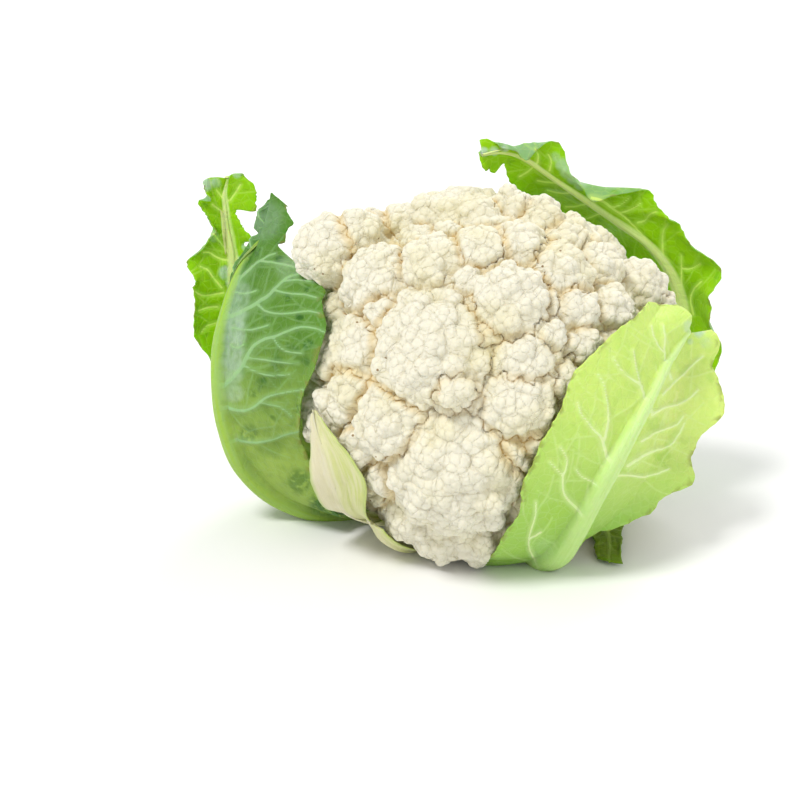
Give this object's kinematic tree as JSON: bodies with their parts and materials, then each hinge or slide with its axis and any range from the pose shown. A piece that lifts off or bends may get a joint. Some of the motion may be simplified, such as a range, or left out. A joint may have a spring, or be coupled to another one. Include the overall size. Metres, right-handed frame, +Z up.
{
  "type": "cauliflower",
  "caption": "Whole white cauliflower head lying on its side, with green leaves round the curd and a cut stem underneath.",
  "frame": {"origin": "on the surface that the head lies on, at the flat underside of the right leaf's rib, under the middle of the curd", "axes": "+Z up from that surface; +X to the right of someone who faces the curd and stands on the -Y side; the curd's crown leans towards -Y"},
  "size_m": [0.2462, 0.1891, 0.1708],
  "materials": {
    "curd": "cream white flower buds, matte, grainy",
    "stem": "pale green stalk, cut end, moist",
    "leaf_lime": "light yellow-green leaf, thick pale rib, slightly glossy",
    "leaf_dark": "dark blue-green waxy leaf with pale veins",
    "leaf_bright": "bright green leaf with pale veins, translucent",
    "leaf_pale": "cream to yellow-green cut leaf base"
  },
  "bodies": {
    "root": {"curd": "curd", "stem": "stem", "leaf_right": "leaf_lime", "leaf_left": "leaf_dark", "leaf_rear_left": "leaf_bright", "leaf_rear_right": "leaf_bright", "leaf_rear": "leaf_dark", "leaf_under_right": "leaf_dark", "stub_left": "leaf_pale", "stub_front": "leaf_pale"}
  },
  "joints": []
}
